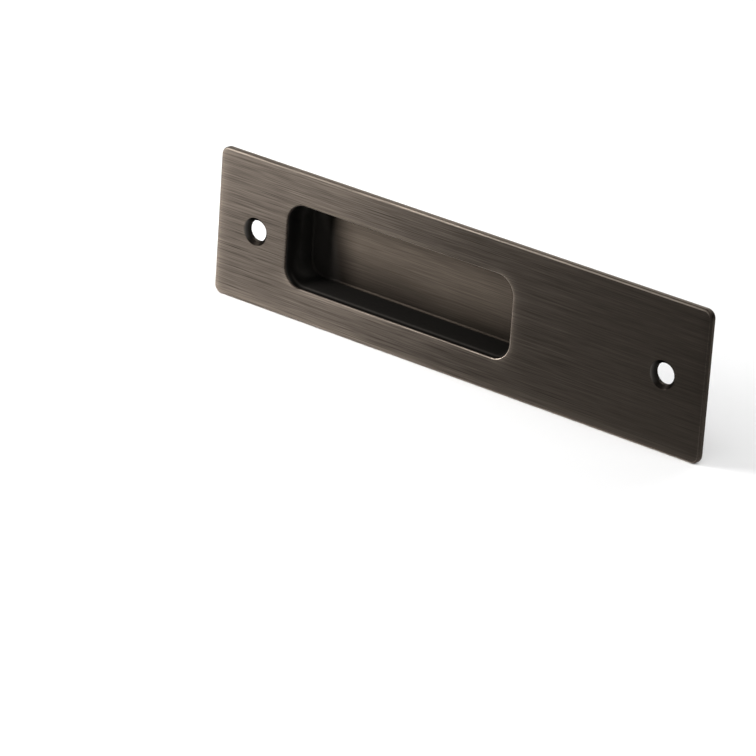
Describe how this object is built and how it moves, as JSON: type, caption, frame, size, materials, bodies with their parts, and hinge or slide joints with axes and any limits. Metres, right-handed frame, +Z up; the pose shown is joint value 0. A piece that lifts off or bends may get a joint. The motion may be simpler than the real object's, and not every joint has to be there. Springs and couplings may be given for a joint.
{
  "type": "sliding door handle",
  "caption": "Flush pull for a sliding door: a flat oblong metal plate with an off-centre sunk finger recess and countersunk screw holes at its ends.",
  "frame": {"origin": "on the seat, the flat back of the plate that bears on the door, midway between the two screw holes", "axes": "+X along the plate's length, away from the recess; +Z up, with the plate standing on its long edge; the face looks towards -Y and the cup goes into the door towards +Y"},
  "size_m": [0.1794, 0.0138, 0.047],
  "materials": {
    "brushed_bronze": "dark antique bronze plating, brushed lengthwise to a satin, worn lighter along the edges"
  },
  "bodies": {
    "root": {"pull_plate": "brushed_bronze"}
  },
  "joints": []
}
